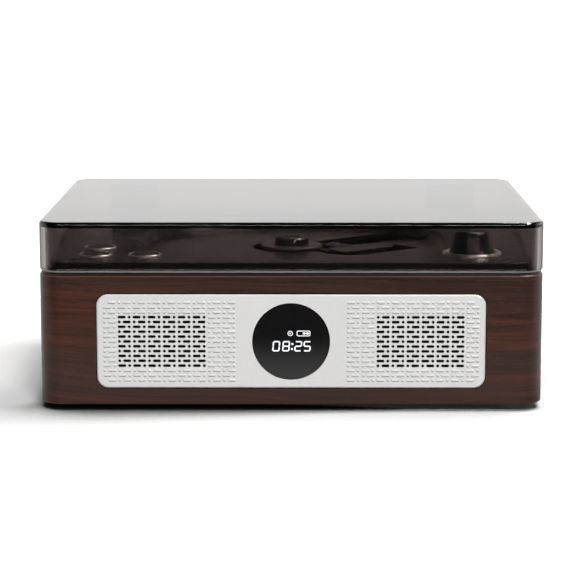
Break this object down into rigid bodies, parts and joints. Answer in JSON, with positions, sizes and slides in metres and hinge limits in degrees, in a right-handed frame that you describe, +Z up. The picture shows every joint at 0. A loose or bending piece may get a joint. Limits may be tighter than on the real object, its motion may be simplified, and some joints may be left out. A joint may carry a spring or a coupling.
{
  "type": "desktop cd music centre",
  "caption": "Compact wood-veneered music centre with a hinged smoked dust lid, top-loading disc well, stereo speakers, buttons and a volume dial.",
  "frame": {"origin": "under the middle of the whole outline, on the surface that the feet stand on", "axes": "+X to the right of the front panel, +Y towards the rear, +Z up; the front panel faces -Y"},
  "size_m": [0.205, 0.1666, 0.0772],
  "materials": {
    "walnut_veneer": "satin veneer",
    "black_plastic": "matte",
    "foot_rubber": "matte",
    "zinc_screws": "satin",
    "silver_panel": "satin paint",
    "grille_cloth": "matte",
    "speaker_basket": "satin",
    "speaker_cone": "matte",
    "magnet_steel": "satin",
    "display_black": "gloss",
    "circuit_board": "satin",
    "satin_black": "satin",
    "deck_black": "gloss",
    "chassis_grey": "satin",
    "motor_steel": "satin",
    "pale_grey": "satin",
    "lens_glass": "gloss",
    "brass": "satin",
    "gear_white": "satin",
    "button_black": "satin",
    "trim_metal": "polished",
    "knob_black": "satin",
    "heatsink": "satin",
    "cell_wrap": "gloss",
    "hinge_black": "satin",
    "smoke_acrylic": "gloss"
  },
  "bodies": {
    "cabinet": {"cabinet": "walnut_veneer", "base_plate": "black_plastic", "rubber_feet": "foot_rubber", "base_screws": "zinc_screws", "front_panel": "silver_panel", "grille_cloth": "grille_cloth", "speaker_baffle": "black_plastic", "front_screws": "zinc_screws", "speaker_basket_left": "speaker_basket", "speaker_basket_right": "speaker_basket", "speaker_cone_left": "speaker_cone", "speaker_cone_right": "speaker_cone", "speaker_magnet_left": "magnet_steel", "speaker_magnet_right": "magnet_steel", "display_lens": "display_black", "display_board": "circuit_board", "display_digits": "satin_black", "deck_plate": "deck_black", "deck_plugs": "satin_black", "deck_screws": "zinc_screws", "mech_chassis": "chassis_grey", "mech_dampers": "foot_rubber", "mech_screws": "zinc_screws", "spindle_motor": "motor_steel", "guide_rods": "motor_steel", "sled_motor": "motor_steel", "button_rings": "trim_metal", "key_board": "circuit_board", "key_switches": "satin_black", "knob_ring": "trim_metal", "volume_control": "magnet_steel", "volume_nut": "zinc_screws", "main_board": "circuit_board", "board_screws": "zinc_screws", "amplifier_heatsink": "heatsink", "battery_cells": "cell_wrap", "battery_holder": "black_plastic", "socket_plate": "black_plastic", "audio_socket": "satin_black", "charge_socket": "motor_steel", "hinge_bases": "hinge_black", "hinge_pins": "motor_steel", "hinge_screws": "zinc_screws"},
    "lid": {"lid": "smoke_acrylic", "hinge_arms": "hinge_black", "clamp_screws": "zinc_screws"},
    "disc_spindle": {"spindle_hub": "satin_black", "turntable": "pale_grey", "clamp_balls": "motor_steel", "spindle_shaft": "motor_steel"},
    "pickup": {"pickup_sled": "satin_black", "pickup_lens": "lens_glass", "lens_cover": "satin_black"},
    "sled_wheel": {"drive_gear": "gear_white"},
    "sled_pinion": {"motor_pinion": "brass"},
    "front_button": {"button_cap_front": "button_black"},
    "rear_button": {"button_cap_rear": "button_black"},
    "inner_button": {"button_cap_inner": "button_black"},
    "volume_dial": {"volume_knob": "knob_black", "volume_shaft": "motor_steel"}
  },
  "joints": [
    {"name": "lid_hinge", "type": "hinge", "parent": "cabinet", "child": "lid", "pos_m": [0, 0.0807, 0.0572], "axis": [-1, 0, 0], "range_deg": [0, 75]},
    {"name": "spindle_turn", "type": "hinge", "parent": "cabinet", "child": "disc_spindle", "pos_m": [0, -0.00555, 0.0576], "axis": [0, 0, 1], "continuous": true},
    {"name": "pickup_travel", "type": "slide", "parent": "cabinet", "child": "pickup", "axis": [0.7547, 0.6561, 0], "range_m": [0, 0.033]},
    {"name": "sled_wheel_turn", "type": "hinge", "parent": "cabinet", "child": "sled_wheel", "pos_m": [0.04869, -0.00059, 0.048], "axis": [0, 0, 1], "range_deg": [-454.2, 4]},
    {"name": "sled_pinion_turn", "type": "hinge", "parent": "cabinet", "child": "sled_pinion", "pos_m": [0.03646, -0.01122, 0.048], "axis": [0, 0, 1], "range_deg": [-10, 1296.2]},
    {"name": "front_button_press", "type": "slide", "parent": "cabinet", "child": "front_button", "axis": [0, 0, -1], "range_m": [0, 0.001], "stiffness_N_per_m": 400, "springref_m": -0.0005},
    {"name": "rear_button_press", "type": "slide", "parent": "cabinet", "child": "rear_button", "axis": [0, 0, -1], "range_m": [0, 0.001], "stiffness_N_per_m": 400, "springref_m": -0.0005},
    {"name": "inner_button_press", "type": "slide", "parent": "cabinet", "child": "inner_button", "axis": [0, 0, -1], "range_m": [0, 0.001], "stiffness_N_per_m": 400, "springref_m": -0.0005},
    {"name": "volume_turn", "type": "hinge", "parent": "cabinet", "child": "volume_dial", "pos_m": [0.0752, -0.0529, 0.0605], "axis": [0, 0, 1], "range_deg": [-150, 150]}
  ],
  "couplings": [
    {"joint": "sled_wheel_turn", "follows": "pickup_travel", "rad_per_m": -238.1},
    {"joint": "sled_pinion_turn", "follows": "pickup_travel", "rad_per_m": 680.27}
  ]
}
